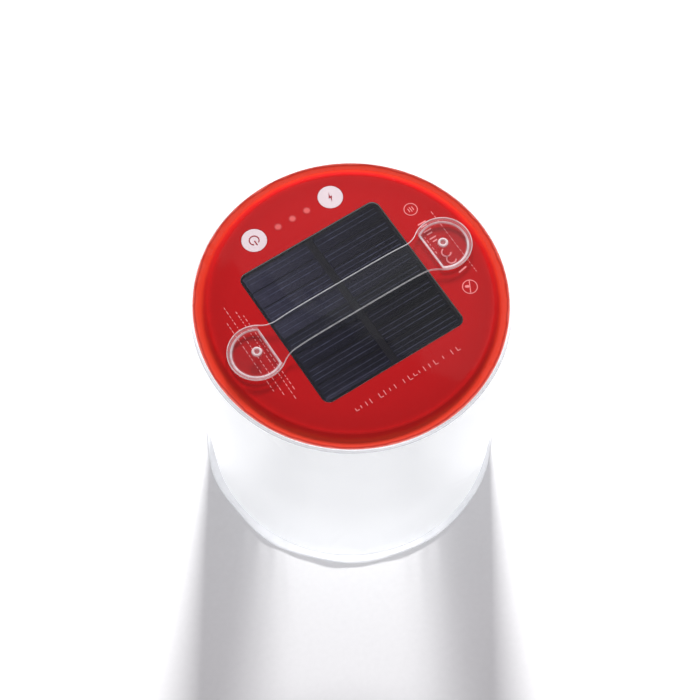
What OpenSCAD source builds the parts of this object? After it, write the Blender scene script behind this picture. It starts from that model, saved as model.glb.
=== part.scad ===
// Inflatable solar lantern: a round electronics capsule under a printed film top,
// a frosted film wall that holds air, and a dished film base with an inflation valve.
// Millimetres. +Z is up, the origin is on the floor under the middle of the lantern,
// and X runs along the hanging strap.

/* [Body] */
// Radius of the printed top film
top_r = 52.5; // [48:0.5:60]
// Height of the flat top surface when inflated
top_z = 110; // [90:1:140]
// Outer radius of the film wall at its two seams
wall_r = 53.2; // [48.7:0.1:61]
// How far the wall bulges at mid height
wall_bulge = 0.6; // [0:0.1:3]
// Thickness of the wall and base films
film_t = 0.45; // [0.3:0.05:0.8]
// Outer radius of the base seam flange
base_flange_r = 56.5; // [55:0.5:64]
// Outer radius of the top seam flange
top_flange_r = 54.4; // [53.5:0.1:62]

/* [Capsule] */
// Outer radius of the rigid electronics capsule
capsule_r = 46.4; // [44:0.2:48]
// Height of the capsule from its lens to the printed film
capsule_h = 14; // [14:0.5:20]
// Wall thickness of the capsule
capsule_t = 1.6; // [1:0.1:2]
// Number of lamp diodes under the board
lamp_count = 10; // [6:2:12]

/* [Solar panel] */
// Side of the square panel
panel_w = 54.4; // [48:0.2:56]
// Corner radius of the panel
panel_corner_r = 2.8; // [1:0.1:5]
// Rows of cells in each of the two columns
cell_rows = 8; // [4:1:10]

/* [Controls] */
// Radius of each push button
button_r = 4.3; // [3.5:0.05:5]
// Distance of each button from the middle along X
button_x = 15.2; // [12:0.1:18]
// Distance of the buttons and charge lights from the middle along Y
control_y = 36.2; // [34:0.1:38]
// Spacing of the three charge lights
light_pitch = 5.7; // [4:0.1:7]

/* [Strap] */
// Distance of each snap from the middle
snap_x = 36.6; // [34:0.1:38]
// Radius of the strap's round ends
tab_r = 9.9; // [8:0.1:10.4]
// Width of the strap between its ends
strap_w = 12.2; // [9:0.1:16]
// Distance of the fold line from the middle
fold_x = 31.5; // [30:0.1:33]
// How far the strap bows up over the panel
strap_bow = 1.8; // [0:0.1:3]

/* [Valve] */
// Outer radius of the valve tube
valve_r = 5; // [4:0.1:6]
// Inner radius of the valve tube
valve_bore_r = 3.1; // [2.5:0.1:3.5]

/* [Hidden] */
$fn = 96;
eps = 0.01;

// Heights of the printed top. The films lie flat to plateau_r and then drop to the seam.
cover_t = 0.4;
sheet_t = 0.3;
sheet_z = top_z - cover_t;
plate_z = sheet_z - sheet_t;
plateau_r = capsule_r + 0.8;
gutter_r = plateau_r + 2.8;
gutter_drop = 1.5;
rim_rise = 0.3;
wall_top_z = plate_z - gutter_drop - 0.2;
flange_t = 0.9;

// Heights inside the capsule, from the printed film down to the lens.
lens_z = plate_z - capsule_h;
lens_t = 1.4;
gasket_t = 0.4;
plate_t = 3;
plate_under_z = plate_z - plate_t;
pocket_depth = 2.2;
board_t = 1.6;
board_top_z = plate_under_z - 2.5;
board_z = board_top_z - board_t;
board_r = capsule_r - capsule_t - 1.3;
boss_r = 36;
boss_angles = [36, 144, 216, 324];
lamp_r = 35;
diode_t = 0.8;

// Reflector: a flat under the battery, a raised ring round the diodes, and a lip.
reflector_t = 0.8;
reflector_z = lens_z + lens_t + 0.2;
reflector_rise = 2.9;

// Solar panel stack, from the pocket floor up.
tape_t = 0.2;
panel_z = plate_z - pocket_depth + tape_t;
panel_board_t = 1.6;
cell_t = 0.15;
resin_t = 0.55;
panel_gap = 0.2;
cell_margin = 0.9;
cell_gap = 0.35;
column_gap = 2.6;

// Push buttons and the switches under them.
button_clear = 0.1;
button_travel = 0.4;
stem_r = 1.6;
button_flange_r = 5;
switch_w = 6;
switch_h = 1.2;
plunger_h = 0.85;
plunger_top_z = board_top_z + switch_h + button_travel;

// Strap stack.
patch_t = 0.8;
strap_gap = 0.15;
strap_t = 0.8;
strap_z = top_z + patch_t + strap_gap;
patch_r = 8.9;
stud_r = 1.1;
stud_hole_r = 1.2;
stud_flange_r = 2.4;
stud_flange_t = 0.35;
cap_r = 1.9;
cap_t = 1;
fillet_r = 9;

// Base and valve.
base_rise = 6;
dish_r = 40;
dish_foot_r = 50;
valve_mouth_z = 1.4;
valve_top_z = 10.8;
bead_t = 0.6;
collar_r = valve_r + 0.1;
film_hole_r = valve_r + 0.3;
plug_hinge_x = valve_r + 2.6;

// A flat ring, from radius a to radius b.
module ring(a, b, z, h) {
  translate([0, 0, z]) difference() {
    cylinder(r = b, h = h);
    translate([0, 0, -eps]) cylinder(r = a, h = h + 2 * eps);
  }
}

// A square with round corners, centred, in the XY plane.
module rounded_square(w, r) {
  for (s = [-1, 1], t = [-1, 1])
    translate([s * (w / 2 - r), t * (w / 2 - r)]) circle(r = r);
  square([w, w - 2 * r], center = true);
  square([w - 2 * r, w], center = true);
}

// A round wire through a list of points.
module wire(points, r) {
  for (i = [0 : len(points) - 2]) {
    a = points[i];
    b = points[i + 1];
    d = b - a;
    length = norm(d);
    translate(a)
      rotate([0, acos(d[2] / length), atan2(d[1], d[0])])
        cylinder(r = r, h = length, $fn = 24);
  }
  for (i = [1 : 1 : len(points) - 2]) translate(points[i]) sphere(r = r, $fn = 24);
}

module at_bosses() {
  for (a = boss_angles) rotate(a) translate([boss_r, 0, 0]) children();
}

module at_lamps() {
  for (i = [0 : lamp_count - 1])
    rotate((i + 0.5) * 360 / lamp_count) translate([lamp_r, 0, 0]) children();
}

module at_charge_lights() {
  for (i = [-1 : 1]) translate([i * light_pitch, control_y, 0]) children();
}

// Drop of the top films below the plateau at radius r.
function smooth(t) = (1 - cos(180 * t)) / 2;
function top_drop(r) =
  r <= plateau_r ? 0
  : r <= gutter_r ? gutter_drop * smooth((r - plateau_r) / (gutter_r - plateau_r))
  : gutter_drop - rim_rise * smooth((r - gutter_r) / (top_r - gutter_r));

// A top film whose upper face is at z over the plateau.
module top_layer(z, t, r_end) {
  steps = 10;
  radii = [for (i = [0 : steps]) plateau_r + (r_end - plateau_r) * i / steps];
  upper = [for (r = radii) [r, z - top_drop(r)]];
  lower = [for (i = [steps : -1 : 0]) [radii[i], z - t - top_drop(radii[i])]];
  rotate_extrude() polygon(concat([[0, z]], upper, lower, [[0, z - t]]));
}

module base_film() {
  steps = 8;
  radii = [for (i = [0 : steps]) dish_r + (dish_foot_r - dish_r) * i / steps];
  height = [for (i = [0 : steps]) flange_t + (base_rise - flange_t) * (1 - smooth(i / steps))];
  upper = [for (i = [0 : steps]) [radii[i], height[i] + film_t]];
  lower = [for (i = [steps : -1 : 0]) [radii[i], height[i]]];
  edge_r = base_flange_r - 1;
  color("whitesmoke") difference() {
    rotate_extrude() polygon(concat(
      [[0, base_rise + film_t]], upper,
      [[edge_r, flange_t + film_t], [edge_r, flange_t]],
      lower, [[0, base_rise]]));
    translate([0, 0, base_rise - 1]) cylinder(r = film_hole_r, h = 3);
  }
}

module base_weld_ring() {
  color("ghostwhite") ring(dish_foot_r + 1.6, base_flange_r, 0, flange_t);
}

// Radius of the wall's outer face at a share t of its height.
function wall_radius(t) = wall_r + wall_bulge * sin(180 * t);

module side_wall() {
  steps = 16;
  low = flange_t + film_t;
  high = wall_top_z;
  outer = [for (i = [0 : steps]) [wall_radius(i / steps), low + (high - low) * i / steps]];
  inner = [for (i = [steps : -1 : 0]) [wall_radius(i / steps) - film_t, low + (high - low) * i / steps]];
  color("white") rotate_extrude() polygon(concat(outer, inner));
}

// The strip that closes the wall sheet into a tube, at the back, inside the wall.
module wall_lap_seam() {
  seam_angle = 6;
  seam_t = 0.3;
  low = flange_t + film_t + 1;
  high = wall_top_z - 1;
  color("snow") rotate(90 - seam_angle / 2) translate([0, 0, low])
    rotate_extrude(angle = seam_angle)
      translate([wall_r - film_t - seam_t - 0.05, 0]) square([seam_t, high - low]);
}

// The collar: a ring on each side of the film, joined through the film's hole.
module valve_collar() {
  color("gainsboro") {
    ring(collar_r, valve_r + 1.6, base_rise - 0.8, 0.8);
    ring(collar_r, valve_r + 3.5, base_rise + film_t, 0.5);
    ring(collar_r, film_hole_r - 0.05, base_rise - eps, film_t + 2 * eps);
  }
}

module clear_cover() {
  color("white", 0.3) top_layer(top_z, cover_t, top_r);
}

module red_sheet() {
  color("firebrick") difference() {
    top_layer(sheet_z, sheet_t, top_r);
    translate([0, 0, plate_z - 1])
      linear_extrude(2) rounded_square(panel_w + 2 * panel_gap, panel_corner_r + panel_gap);
    for (s = [-1, 1])
      translate([s * button_x, control_y, plate_z - 1]) cylinder(r = button_r + button_clear, h = 2);
    at_charge_lights() translate([0, 0, plate_z - 1]) cylinder(r = 1.05, h = 2);
  }
}

module top_weld_ring() {
  color("ghostwhite") ring(plateau_r + 3.2, top_flange_r, wall_top_z, plate_z - gutter_drop - wall_top_z);
}

// Rigid upper housing: a round tub, open downwards, with a panel pocket in its roof.
module capsule_top() {
  color("gainsboro") difference() {
    union() {
      ring(capsule_r - capsule_t, capsule_r, lens_z + lens_t + gasket_t,
           capsule_h - lens_t - gasket_t - plate_t + eps);
      translate([0, 0, plate_under_z]) cylinder(r = capsule_r, h = plate_t);
      at_bosses() translate([0, 0, board_top_z]) cylinder(r = 2.8, h = plate_under_z - board_top_z + eps);
    }
    translate([0, 0, plate_z - pocket_depth])
      linear_extrude(pocket_depth + 1) rounded_square(panel_w + 2 * panel_gap, panel_corner_r + panel_gap);
    for (s = [-1, 1])
      translate([s * button_x, control_y, plate_under_z - 1])
        cylinder(r = button_r + button_clear, h = plate_t + 2);
    at_charge_lights() translate([0, 0, plate_under_z - 1]) cylinder(r = 1.05, h = plate_t + 2);
    at_bosses() translate([0, 0, board_top_z - 1]) cylinder(r = 1.1, h = 4);
    for (s = [-1, 1]) translate([s * 2, -20, plate_under_z - 1]) cylinder(r = 0.8, h = 3);
  }
}

module capsule_lens() {
  color("white", 0.4) {
    translate([0, 0, lens_z]) cylinder(r = capsule_r, h = lens_t);
    ring(capsule_r - capsule_t - 1.1, capsule_r - capsule_t - 0.2, lens_z + lens_t - eps, 1.8);
  }
}

module capsule_gasket() {
  color("dimgray") ring(capsule_r - capsule_t, capsule_r, lens_z + lens_t, gasket_t);
}

module reflector() {
  z = reflector_z;
  t = reflector_t;
  up = z + reflector_rise;
  color("white") difference() {
    rotate_extrude() polygon([
      [0, z], [28, z], [31.6, up], [39, up], [41.6, z], [43.3, z],
      [43.3, z + t], [42, z + t], [39.4, up + t], [31.2, up + t], [27.6, z + t], [0, z + t]
    ]);
    at_lamps() translate([0, 0, z]) cylinder(r = 2.6, h = 8);
  }
}

module panel_tape() {
  color("black") translate([0, 0, plate_z - pocket_depth])
    ring(21, 25, 0, tape_t);
}

module panel_board() {
  color("#15161c") translate([0, 0, panel_z]) difference() {
    linear_extrude(panel_board_t) rounded_square(panel_w, panel_corner_r);
    for (s = [-1, 1]) translate([s * 2, -20, -1]) cylinder(r = 0.55, h = 1.8);
  }
}

// Two columns of cell strips, side by side along X.
module solar_cells() {
  pitch = (panel_w - 2 * cell_margin) / cell_rows;
  cell_w = (panel_w - 2 * cell_margin - column_gap) / 2;
  color("#1b1d2b")
    for (side = [-1, 1], row = [0 : cell_rows - 1])
      translate([side * (cell_w + column_gap) / 2,
                 (row - (cell_rows - 1) / 2) * pitch,
                 panel_z + panel_board_t + cell_t / 2])
        cube([cell_w, pitch - cell_gap, cell_t], center = true);
}

module panel_resin() {
  z = panel_z + panel_board_t + cell_t;
  color("white", 0.25) translate([0, 0, z])
    linear_extrude(sheet_z - z) rounded_square(panel_w, panel_corner_r);
}

module panel_leads() {
  for (s = [-1, 1])
    color(s > 0 ? "red" : "black")
      translate([s * 2, -20, board_top_z]) cylinder(r = 0.5, h = panel_z - board_top_z + 0.6);
}

module main_board() {
  color("seagreen") difference() {
    translate([0, 0, board_z]) cylinder(r = board_r, h = board_t);
    at_bosses() translate([0, 0, board_z - 1]) cylinder(r = 1.2, h = board_t + 2);
    translate([-4, -30, board_z - 1]) cube([8, 3, board_t + 2]);
  }
}

module board_screws() {
  color("silver") at_bosses() {
    translate([0, 0, board_z]) cylinder(r = 1, h = 4.4);
    difference() {
      translate([0, 0, board_z - 1.2]) cylinder(r = 2.2, h = 1.2);
      translate([0, 0, board_z - 1.3]) cylinder(r = 0.9, h = 0.8, $fn = 6);
    }
  }
}

// The coil, the charging diode and the capacitors, standing on the board.
module board_parts() {
  color("#3a3a3a") translate([0, 0, board_top_z]) {
    translate([13, -30, 0]) cylinder(r = 2.6, h = 1.9);
    translate([-22, -24, 0]) cube([4, 2.6, 1.6]);
    for (i = [0 : 3]) translate([16 + 2.6 * i, -20, 0]) cube([1.6, 0.9, 0.7]);
    for (i = [0 : 3]) translate([-30, -12 + 2.4 * i, 0]) cube([1.6, 0.9, 0.5]);
  }
}

module controller_chip() {
  leg_pitch = 1.27;
  color("#202020") translate([-13, -31, board_top_z + 0.1]) cube([5, 4, 1.3]);
  color("silver")
    for (i = [0 : 3], s = [0, 1])
      translate([-12.8 + i * leg_pitch, s ? -27 : -31.8, board_top_z]) cube([0.5, 0.8, 0.5]);
}

battery_w = 34;
battery_l = 40;
battery_t = 4;
battery_z = reflector_z + reflector_t + 0.2;

module battery_pouch() {
  color("silver") {
    translate([-battery_w / 2, -battery_l / 2 + 3, battery_z])
      cube([battery_w, battery_l - 3, battery_t]);
    translate([-battery_w / 2 + 2, -battery_l / 2, battery_z + 1.2])
      cube([battery_w - 4, 3 + eps, 1.2]);
  }
}

module battery_tape() {
  z = battery_z + battery_t;
  color("white") translate([-10, -12, z]) cube([20, 28, board_z - z]);
}

module battery_socket() {
  color("ivory") translate([-3.4, -36.5, board_top_z]) difference() {
    cube([6.8, 5, 2.2]);
    for (x = [2.1, 4.7]) translate([x, 5.1, 1.2]) rotate([90, 0, 0]) cylinder(r = 0.6, h = 2.6, $fn = 24);
  }
}

// A battery lead comes out of the pouch, turns up through the board's slot and enters the socket.
module battery_lead(x) {
  out_z = battery_z + 1.8;
  socket_z = board_top_z + 1.2;
  wire([[x, -20, out_z], [x, -28.5, out_z], [x, -28.5, socket_z], [x, -34, socket_z]], 0.5);
}

module battery_lead_red() { color("red") battery_lead(1.3); }
module battery_lead_black() { color("black") battery_lead(-1.3); }

module tact_switch(x) {
  translate([x, control_y, board_top_z]) difference() {
    translate([-switch_w / 2, -switch_w / 2, 0]) cube([switch_w, switch_w, switch_h]);
    translate([0, 0, 0.3]) cylinder(r = stem_r + 0.1, h = switch_h);
  }
}

module power_switch() { color("#303030") tact_switch(-button_x); }
module level_switch() { color("#303030") tact_switch(button_x); }

module charge_diodes() {
  color("ivory") at_charge_lights() translate([-0.8, -0.4, board_top_z]) cube([1.6, 0.8, 0.6]);
}

module charge_light_pipes() {
  color("pink") at_charge_lights()
    translate([0, 0, board_top_z + 0.8]) cylinder(r = 1, h = sheet_z - board_top_z - 0.8);
}

module lamp_diodes() {
  color("lightyellow") at_lamps() translate([-1.4, -1.75, board_z - diode_t]) cube([2.8, 3.5, diode_t]);
}

// A patch with its straight edge on the strap's fold line, welded to the cover film.
module strap_patch(side, t) {
  color("white", 0.4) translate([0, 0, top_z]) difference() {
    translate([side * snap_x, 0, 0]) cylinder(r = patch_r, h = t);
    translate([side * (fold_x - 10), 0, 1]) cube([20, 40, 4], center = true);
    translate([side * snap_x, 0, -1]) cylinder(r = stud_r + 0.05, h = 4);
    translate([side * snap_x, 0, -1]) cylinder(r = stud_flange_r + 0.05, h = 1 + stud_flange_t + 0.05);
  }
}

module strap_patch_left() { strap_patch(-1, patch_t + strap_gap); }
module strap_patch_right() { strap_patch(1, patch_t); }

module snap_stud(side) {
  color("whitesmoke") translate([side * snap_x, 0, top_z]) {
    cylinder(r = stud_flange_r, h = stud_flange_t);
    cylinder(r = stud_r, h = patch_t + strap_gap + strap_t + 0.45);
  }
}

module snap_stud_left() { snap_stud(-1); }
module snap_stud_right() { snap_stud(1); }

module snap_cap(side) {
  color("whitesmoke") translate([side * snap_x, 0, strap_z + strap_t]) difference() {
    cylinder(r1 = cap_r, r2 = cap_r - 0.35, h = cap_t);
    translate([0, 0, -eps]) cylinder(r = stud_hole_r, h = 0.6);
    translate([0, 0, cap_t + 0.7]) sphere(r = 1, $fn = 32);
  }
}

module snap_cap_left() { snap_cap(-1); }
module snap_cap_right() { snap_cap(1); }

// Outline of the whole strap: a band whose edges sweep out in arcs into two round ends.
// One quarter is worked out, then turned over for the other three.
module strap_outline() {
  steps = 10;
  reach = tab_r + fillet_r;
  rise = strap_w / 2 + fillet_r;
  fillet_x = snap_x - sqrt(reach * reach - rise * rise);
  sweep = atan2(snap_x - fillet_x, rise);
  sweep_out = [for (i = [0 : steps - 1])
    [fillet_x + fillet_r * sin(sweep * i / steps), rise - fillet_r * cos(sweep * i / steps)]];
  round_end = [for (i = [0 : 3 * steps])
    [snap_x + tab_r * cos((90 + sweep) * (1 - i / steps / 3)), tab_r * sin((90 + sweep) * (1 - i / steps / 3))]];
  quarter = concat(sweep_out, round_end);
  last = len(quarter) - 1;
  half = concat(quarter, [for (i = [last - 1 : -1 : 0]) [quarter[i][0], -quarter[i][1]]]);
  polygon(concat(half, [for (p = half) -p]));
}

// Height of the strap's underside at x: flat over the ends, bowed over the panel.
function strap_height(x) =
  strap_z + (abs(x) >= fold_x ? 0 : strap_bow * smooth(1 - pow(abs(x) / fold_x, 3)));

// The strap between x0 and x1, with the holes for the snap posts.
module strap_part(x0, x1) {
  steps = 30;
  bend = [for (i = [0 : steps]) -fold_x + 2 * fold_x * i / steps];
  xs = concat([x0], [for (x = bend) if (x > x0 && x < x1) x], [x1]);
  last = len(xs) - 1;
  upper = [for (x = xs) [x, strap_height(x) + strap_t]];
  lower = [for (i = [last : -1 : 0]) [xs[i], strap_height(xs[i])]];
  color("white", 0.4) difference() {
    intersection() {
      translate([0, 20, 0]) rotate([90, 0, 0]) linear_extrude(40) polygon(concat(upper, lower));
      translate([0, 0, top_z - 1]) linear_extrude(10) strap_outline();
    }
    for (s = [-1, 1]) translate([s * snap_x, 0, top_z]) cylinder(r = stud_hole_r, h = 5);
  }
}

module strap_tab_left() { strap_part(-snap_x - tab_r - 1, -fold_x); }
module strap_band() { strap_part(-fold_x, snap_x + tab_r + 1); }

// A push button: a cap in the printed sheet, a flange under the roof and a stem to the switch.
module push_button(x) {
  color("whitesmoke") translate([x, control_y, 0]) {
    translate([0, 0, plunger_top_z]) cylinder(r = stem_r, h = 1);
    translate([0, 0, plunger_top_z + 0.35]) cylinder(r = button_flange_r, h = 0.4);
    translate([0, 0, plunger_top_z + 0.35]) cylinder(r = button_r, h = sheet_z - plunger_top_z - 0.35);
  }
}

module switch_plunger(x) {
  color("gray") translate([x, control_y, plunger_top_z - plunger_h]) cylinder(r = stem_r, h = plunger_h);
}

module power_button() { push_button(-button_x); }
module level_button() { push_button(button_x); }
module power_plunger() { switch_plunger(-button_x); }
module level_plunger() { switch_plunger(button_x); }

// The valve tube, with a bead inside the lantern and a flange round its mouth.
module valve_body() {
  color("white") difference() {
    union() {
      translate([0, 0, valve_mouth_z]) cylinder(r = valve_r, h = valve_top_z - valve_mouth_z);
      translate([0, 0, valve_top_z - bead_t]) cylinder(r = valve_r + 0.5, h = bead_t);
      translate([0, 0, valve_mouth_z]) cylinder(r = valve_r + 2, h = 0.8);
      translate([plug_hinge_x - 1.6, -1.6, valve_mouth_z]) cube([1.6, 3.2, 0.8]);
    }
    translate([0, 0, valve_mouth_z - 1])
      cylinder(r = valve_bore_r, h = valve_top_z - valve_mouth_z - 1);
    for (a = [0 : 90 : 270])
      rotate(a) translate([1.5, 0, valve_top_z - 3]) cylinder(r = 1, h = 4, $fn = 24);
  }
}

// The soft check flap that lies on the four holes inside the tube.
module valve_flap() {
  color("silver") translate([0, 0, valve_top_z - 2.4]) cylinder(r = valve_bore_r - 0.1, h = 0.3);
}

// The plug, with its tether and a grip tab; it turns about the tether's root.
module valve_plug() {
  cap_h = 0.7;
  color("white") {
    translate([0, 0, valve_mouth_z - cap_h]) cylinder(r = valve_r + 0.4, h = cap_h - 0.05);
    translate([0, 0, valve_mouth_z - 0.06]) cylinder(r1 = valve_bore_r - 0.35, r2 = valve_bore_r - 1.1, h = 2.6);
    translate([valve_r - 0.4, -1.4, valve_mouth_z - cap_h])
      cube([plug_hinge_x - valve_r + 0.4, 2.8, cap_h - 0.05]);
    translate([-valve_r - 2.2, -1.6, valve_mouth_z - cap_h]) cube([2.6, 3.2, cap_h - 0.05]);
  }
}

base_film();
base_weld_ring();
side_wall();
wall_lap_seam();
valve_collar();
clear_cover();
red_sheet();
top_weld_ring();
capsule_top();
capsule_lens();
capsule_gasket();
reflector();
panel_board();
panel_tape();
solar_cells();
panel_resin();
panel_leads();
main_board();
board_screws();
board_parts();
controller_chip();
battery_pouch();
battery_tape();
battery_socket();
battery_lead_red();
battery_lead_black();
power_switch();
level_switch();
charge_diodes();
charge_light_pipes();
lamp_diodes();
strap_patch_left();
strap_patch_right();
snap_stud_left();
snap_stud_right();
strap_tab_left();
snap_cap_left();
strap_band();
snap_cap_right();
power_button();
power_plunger();
level_button();
level_plunger();
valve_body();
valve_flap();
valve_plug();
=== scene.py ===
import math
import random

import bmesh
import bpy
from mathutils import Matrix, Vector


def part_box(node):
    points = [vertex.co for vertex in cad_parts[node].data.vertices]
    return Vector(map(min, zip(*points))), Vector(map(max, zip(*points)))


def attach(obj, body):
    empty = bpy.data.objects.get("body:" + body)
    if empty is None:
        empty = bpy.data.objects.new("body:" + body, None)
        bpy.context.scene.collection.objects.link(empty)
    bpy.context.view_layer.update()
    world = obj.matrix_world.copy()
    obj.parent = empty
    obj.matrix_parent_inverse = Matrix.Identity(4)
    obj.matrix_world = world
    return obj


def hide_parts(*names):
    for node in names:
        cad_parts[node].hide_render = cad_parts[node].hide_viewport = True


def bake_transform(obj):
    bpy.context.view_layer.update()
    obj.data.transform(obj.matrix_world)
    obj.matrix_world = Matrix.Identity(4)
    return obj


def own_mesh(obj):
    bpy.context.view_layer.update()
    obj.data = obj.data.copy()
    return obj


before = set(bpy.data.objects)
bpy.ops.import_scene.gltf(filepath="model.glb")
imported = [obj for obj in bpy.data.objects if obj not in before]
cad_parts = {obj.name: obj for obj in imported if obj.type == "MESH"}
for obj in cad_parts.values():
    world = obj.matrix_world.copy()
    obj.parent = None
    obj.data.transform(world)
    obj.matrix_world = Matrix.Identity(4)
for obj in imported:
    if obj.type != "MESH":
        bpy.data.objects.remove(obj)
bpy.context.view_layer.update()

MM = 0.001
SEGMENTS = 256
FINE_SEGMENTS = 360


# ---------------------------------------------------------------- sizes from the frame

def top_of(node):
    """Height of a CAD node's highest point."""
    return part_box(node)[1].z


def bottom_of(node):
    """Height of a CAD node's lowest point."""
    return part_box(node)[0].z


def radius_of(node):
    """Half the width of a CAD node along X."""
    lo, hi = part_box(node)
    return (hi.x - lo.x) / 2


def centre_of(node):
    """Middle of a CAD node's box."""
    lo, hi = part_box(node)
    return (lo + hi) / 2


FILM_TOP = top_of("clear_cover")
SHEET_TOP = top_of("red_sheet")
RIM_R = radius_of("red_sheet")
FLANGE_R = radius_of("top_weld_ring")
WALL_TOP = top_of("side_wall")
WALL_R = radius_of("side_wall")
BASE_R = radius_of("base_weld_ring")
PANEL_HALF = radius_of("panel_resin")
SNAP = centre_of("snap_stud_right").x
STRAP_FOOT = bottom_of("strap_band")
STRAP_MID_TOP = top_of("strap_band")
TAB_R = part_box("strap_band")[1].x - SNAP
FOLD = -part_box("strap_band")[0].x
SEAM_TOP = top_of("top_weld_ring")
PRINT_GAP = 0.02 * MM
PRINT_T = 0.03 * MM
PRINT_Z = SHEET_TOP + PRINT_GAP
PRINT_TOP = PRINT_Z + PRINT_T
FILM_T = 0.4 * MM
FLANGE_T = 0.9 * MM


# ---------------------------------------------------------------- materials

def srgb(red, green, blue):
    """A colour given as 0 to 255 on screen, as the linear colour that a shader takes."""
    def linear(value):
        value /= 255
        return value / 12.92 if value <= 0.04045 else ((value + 0.055) / 1.055) ** 2.4
    return (linear(red), linear(green), linear(blue), 1)


def scaled(colour, factor):
    """The same colour, lighter or darker."""
    return tuple(min(1, c * factor) for c in colour[:3]) + (1,)


class Shader:
    """A material's node tree, with short calls that add nodes."""

    def __init__(self, name):
        self.material = bpy.data.materials.new(name)
        self.material.use_nodes = True
        self.tree = self.material.node_tree
        self.tree.nodes.clear()

    def add(self, kind, inputs=None, **settings):
        """A new node. An input is a value, or another node's output to link from."""
        node = self.tree.nodes.new("ShaderNode" + kind)
        for key, value in settings.items():
            setattr(node, key, value)
        for key, value in (inputs or {}).items():
            if isinstance(value, bpy.types.NodeSocket):
                self.tree.links.new(value, node.inputs[key])
            else:
                node.inputs[key].default_value = value
        return node

    def place(self):
        """Where a point is on the object, in metres."""
        return self.add("TexCoord").outputs["Object"]

    def noise(self, size, detail=3, roughness=0.55):
        """Noise whose lumps are about size metres across."""
        node = self.add("TexNoise", {
            "Vector": self.place(), "Scale": 1 / size, "Detail": detail, "Roughness": roughness})
        return node.outputs["Fac"]

    def ramp(self, factor, stops):
        """A colour for each factor, from (place, colour) stops."""
        node = self.add("ValToRGB", {"Fac": factor})
        elements = node.color_ramp.elements
        while len(elements) < len(stops):
            elements.new(0.5)
        for element, (place, colour) in zip(elements, stops):
            element.position = place
            element.color = colour
        return node.outputs["Color"]

    def spread(self, factor, low, high):
        """A factor from 0 to 1, stretched to run from low to high."""
        node = self.add("MapRange", {"Value": factor, "To Min": low, "To Max": high})
        return node.outputs["Result"]

    def bump(self, height, strength, distance):
        """A normal that follows a height, with distance as the depth in metres."""
        node = self.add("Bump", {"Height": height, "Strength": strength, "Distance": distance})
        return node.outputs["Normal"]

    def math(self, operation, first, second):
        """The result of one sum on two numbers."""
        node = self.add("Math", {0: first, 1: second}, operation=operation)
        return node.outputs["Value"]

    def radius(self):
        """Distance from the lantern's upright axis, in metres."""
        flat = self.add("VectorMath", {0: self.place(), 1: (1, 1, 0)}, operation="MULTIPLY")
        return self.add("VectorMath", {0: flat.outputs["Vector"]}, operation="LENGTH").outputs["Value"]

    def mix(self, factor, first, second):
        """Two shaders mixed, where a factor of 1 gives the second."""
        node = self.add("MixShader", {"Fac": factor, 1: first, 2: second})
        return node.outputs["Shader"]

    def done(self, shader):
        """Links the shader to the output and gives the finished material."""
        output = self.add("OutputMaterial", {"Surface": shader})
        output.is_active_output = True
        return self.material


def moulded(name, colour, roughness=0.4, grain=0.6 * MM, depth=0.02 * MM, uneven=0.06, metallic=0.0,
            coat=0.0):
    """Moulded plastic, rubber or metal: a fine grain and a little unevenness in colour and gloss."""
    s = Shader(name)
    broad = s.noise(8 * MM, 4)
    fine = s.noise(grain, 2)
    base = s.ramp(broad, [(0.3, scaled(colour, 1 - uneven)), (0.7, scaled(colour, 1 + uneven))])
    shader = s.add("BsdfPrincipled", {
        "Base Color": base,
        "Roughness": s.spread(fine, max(0.05, roughness - 0.08), roughness + 0.08),
        "Metallic": metallic, "Coat Weight": coat, "Coat Roughness": 0.1,
        "Normal": s.bump(fine, 0.4, depth)})
    return s.done(shader.outputs["BSDF"])


def clear_film(name, haze, edge_haze=None, ripple=0.03 * MM, ripple_size=14 * MM, roughness=0.04,
               index=1.45):
    """Clear film: see-through, with gloss that grows at a slant, faint haze and slow ripples.
    edge_haze is (start radius, end radius, haze there). Only faces that look outwards are glossy,
    and none are to a lamp's rays, so light crosses the film as it does a thin sheet."""
    s = Shader(name)
    ripples = s.bump(s.noise(ripple_size, 2, 0.4), 0.5, ripple)
    gloss = s.add("BsdfGlossy", {
        "Color": (1, 1, 1, 1), "Roughness": roughness, "Normal": ripples})
    clear = s.add("BsdfTransparent", {"Color": (0.985, 0.99, 0.995, 1)})
    milk_white = s.ramp(s.noise(3 * MM, 3), [
        (0.2, (0.82, 0.83, 0.86, 1)), (0.8, (0.95, 0.95, 0.97, 1))])
    milk = s.add("BsdfPrincipled", {"Base Color": milk_white, "Roughness": 0.25})
    if edge_haze:
        start, end, amount = edge_haze
        outward = s.add("MapRange", {
            "Value": s.radius(), "From Min": start, "From Max": end, "To Min": haze, "To Max": amount},
            interpolation_type="SMOOTHSTEP")
        haziness = outward.outputs["Result"]
    else:
        haziness = s.spread(s.noise(1.5 * MM, 3), haze * 0.5, haze * 1.5)
    body = s.mix(haziness, clear.outputs["BSDF"], milk.outputs["BSDF"])
    fresnel = s.add("Fresnel", {"IOR": index, "Normal": ripples}).outputs["Fac"]
    inner_face = s.add("NewGeometry").outputs["Backfacing"]
    lamp_ray = s.add("LightPath").outputs["Is Shadow Ray"]
    dull = s.math("MAXIMUM", inner_face, lamp_ray)
    outer_gloss = s.math("MULTIPLY", fresnel, s.math("SUBTRACT", 1.0, dull))
    return s.done(s.mix(outer_gloss, body, gloss.outputs["BSDF"]))


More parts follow.
